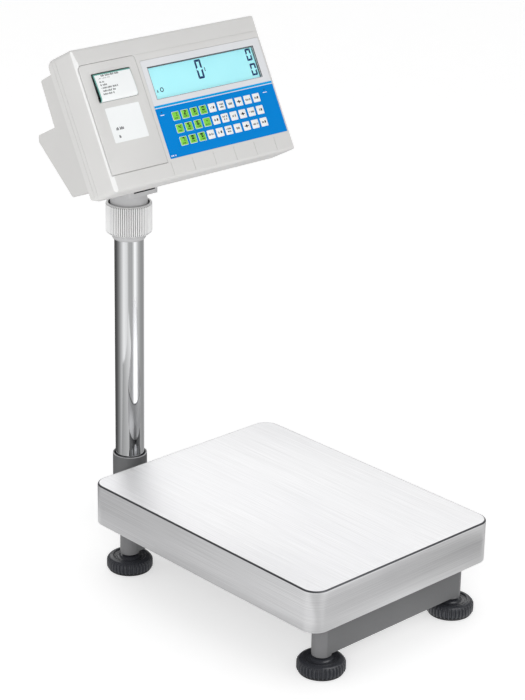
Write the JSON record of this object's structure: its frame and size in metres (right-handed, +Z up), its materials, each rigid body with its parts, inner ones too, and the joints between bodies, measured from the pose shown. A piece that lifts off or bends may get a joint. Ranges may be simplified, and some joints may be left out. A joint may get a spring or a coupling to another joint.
{
  "type": "bench scale",
  "caption": "Bench weighing scale: lift-off steel pan on a load cell and levelled base, with a label-printing indicator that tilts and swivels on a rear column.",
  "frame": {"origin": "middle of the whole object's footprint, on the floor", "axes": "+X to the operator's right, +Y away from the operator, +Z up"},
  "size_m": [0.3, 0.5359, 0.6601],
  "materials": {
    "painted_frame": "satin",
    "column_socket": "satin",
    "stainless_pan": "brushed",
    "chrome_tube": "polished",
    "cell_aluminium": "satin",
    "zinc_steel": "satin",
    "black_rubber": "matte",
    "foot_plastic": "satin",
    "collar_plastic": "satin",
    "neck_plastic": "satin",
    "housing_abs": "fine texture",
    "keypad_film": "satin",
    "display_lens": "clear",
    "lcd_glass": "backlit",
    "circuit_board": "satin",
    "black_plastic": "satin",
    "label_paper": "matte",
    "bubble_vial": "clear"
  },
  "bodies": {
    "base_frame": {"front_crossbeam": "painted_frame", "rear_crossbeam": "painted_frame", "spine_channel": "painted_frame", "lower_spacer": "zinc_steel", "load_cell": "cell_aluminium", "upper_spacer": "zinc_steel", "spider": "painted_frame", "pan_bumper_fl": "black_rubber", "pan_bumper_fr": "black_rubber", "pan_bumper_rl": "black_rubber", "pan_bumper_rr": "black_rubber", "overload_stop_fl": "zinc_steel", "overload_stop_fr": "zinc_steel", "overload_stop_rl": "zinc_steel", "overload_stop_rr": "zinc_steel", "upper_bolt_1": "zinc_steel", "upper_bolt_2": "zinc_steel", "lower_bolt_1": "zinc_steel", "lower_bolt_2": "zinc_steel", "column_bracket": "column_socket", "bracket_bolt_1": "zinc_steel", "bracket_bolt_2": "zinc_steel", "column_screw": "zinc_steel", "column_tube": "chrome_tube", "bubble_level": "bubble_vial"},
    "pan": {"pan": "stainless_pan"},
    "swivel": {"swivel_hub": "neck_plastic", "neck_bracket": "neck_plastic", "tilt_bolt": "zinc_steel", "tilt_nut": "zinc_steel"},
    "collet": {"collet_ring": "collar_plastic"},
    "collar": {"clamp_collar": "collar_plastic"},
    "head": {"tilt_plate": "neck_plastic", "front_shell": "housing_abs", "back_shell": "housing_abs", "keypad_overlay": "keypad_film", "display_lens": "display_lens", "lcd_module": "lcd_glass", "main_board": "circuit_board", "battery": "black_plastic", "serial_port": "zinc_steel", "power_inlet": "black_plastic", "cable_gland": "black_plastic", "printer_mechanism": "black_plastic", "label_strip": "label_paper", "shell_screw_1": "zinc_steel", "shell_screw_2": "zinc_steel", "shell_screw_3": "zinc_steel", "shell_screw_4": "zinc_steel"},
    "cover": {"printer_cover": "housing_abs"},
    "platen": {"platen_roller": "black_rubber"},
    "roll": {"paper_roll": "label_paper"},
    "foot_pad_fl": {"foot_pad_fl": "black_rubber"},
    "foot_disc_fl": {"foot_disc_fl": "foot_plastic"},
    "foot_pad_fr": {"foot_pad_fr": "black_rubber"},
    "foot_disc_fr": {"foot_disc_fr": "foot_plastic"},
    "foot_pad_rl": {"foot_pad_rl": "black_rubber"},
    "foot_disc_rl": {"foot_disc_rl": "foot_plastic"},
    "foot_pad_rr": {"foot_pad_rr": "black_rubber"},
    "foot_disc_rr": {"foot_disc_rr": "foot_plastic"}
  },
  "joints": [
    {"name": "pan_lift", "type": "slide", "parent": "base_frame", "child": "pan", "axis": [0, 0, 1], "range_m": [0, 0.09]},
    {"name": "head_swivel", "type": "hinge", "parent": "base_frame", "child": "swivel", "pos_m": [0, 0.2383, 0.41], "axis": [0, 0, 1], "range_deg": [-150, 150]},
    {"name": "head_tilt", "type": "hinge", "parent": "swivel", "child": "head", "pos_m": [0, 0.232, 0.49], "axis": [1, 0, 0], "range_deg": [-15, 15]},
    {"name": "collet_travel", "type": "slide", "parent": "swivel", "child": "collet", "axis": [0, 0, 1], "range_m": [-0.002, 0.0003]},
    {"name": "collar_turn", "type": "hinge", "parent": "collet", "child": "collar", "pos_m": [0, 0.2383, 0.41], "axis": [0, 0, 1], "range_deg": [-360, 30]},
    {"name": "printer_cover_hinge", "type": "hinge", "parent": "head", "child": "cover", "pos_m": [-0.1006, 0.097, 0.52688], "axis": [1, 0, 0], "range_deg": [0, 90]},
    {"name": "platen_spin", "type": "hinge", "parent": "head", "child": "platen", "pos_m": [-0.1, 0.14541, 0.59207], "axis": [1, 0, 0], "continuous": true},
    {"name": "roll_spin", "type": "hinge", "parent": "head", "child": "roll", "pos_m": [-0.1, 0.15606, 0.53877], "axis": [1, 0, 0], "continuous": true},
    {"name": "foot_height_fl", "type": "slide", "parent": "base_frame", "child": "foot_pad_fl", "axis": [0, 0, 1], "range_m": [-0.009, 0.0015]},
    {"name": "foot_turn_fl", "type": "hinge", "parent": "foot_pad_fl", "child": "foot_disc_fl", "pos_m": [-0.11, -0.239, 0.01], "axis": [0, 0, 1], "range_deg": [-2160, 360]},
    {"name": "foot_height_fr", "type": "slide", "parent": "base_frame", "child": "foot_pad_fr", "axis": [0, 0, 1], "range_m": [-0.009, 0.0015]},
    {"name": "foot_turn_fr", "type": "hinge", "parent": "foot_pad_fr", "child": "foot_disc_fr", "pos_m": [0.11, -0.239, 0.01], "axis": [0, 0, 1], "range_deg": [-2160, 360]},
    {"name": "foot_height_rl", "type": "slide", "parent": "base_frame", "child": "foot_pad_rl", "axis": [0, 0, 1], "range_m": [-0.009, 0.0015]},
    {"name": "foot_turn_rl", "type": "hinge", "parent": "foot_pad_rl", "child": "foot_disc_rl", "pos_m": [-0.11, 0.107, 0.01], "axis": [0, 0, 1], "range_deg": [-2160, 360]},
    {"name": "foot_height_rr", "type": "slide", "parent": "base_frame", "child": "foot_pad_rr", "axis": [0, 0, 1], "range_m": [-0.009, 0.0015]},
    {"name": "foot_turn_rr", "type": "hinge", "parent": "foot_pad_rr", "child": "foot_disc_rr", "pos_m": [0.11, 0.107, 0.01], "axis": [0, 0, 1], "range_deg": [-2160, 360]}
  ],
  "couplings": [
    {"joint": "collet_travel", "follows": "collar_turn", "m_per_rad": 0.00031831},
    {"joint": "roll_spin", "follows": "platen_spin", "ratio": -0.22222},
    {"joint": "foot_height_fl", "follows": "foot_turn_fl", "m_per_rad": 0.00023873},
    {"joint": "foot_height_fr", "follows": "foot_turn_fr", "m_per_rad": 0.00023873},
    {"joint": "foot_height_rl", "follows": "foot_turn_rl", "m_per_rad": 0.00023873},
    {"joint": "foot_height_rr", "follows": "foot_turn_rr", "m_per_rad": 0.00023873}
  ]
}
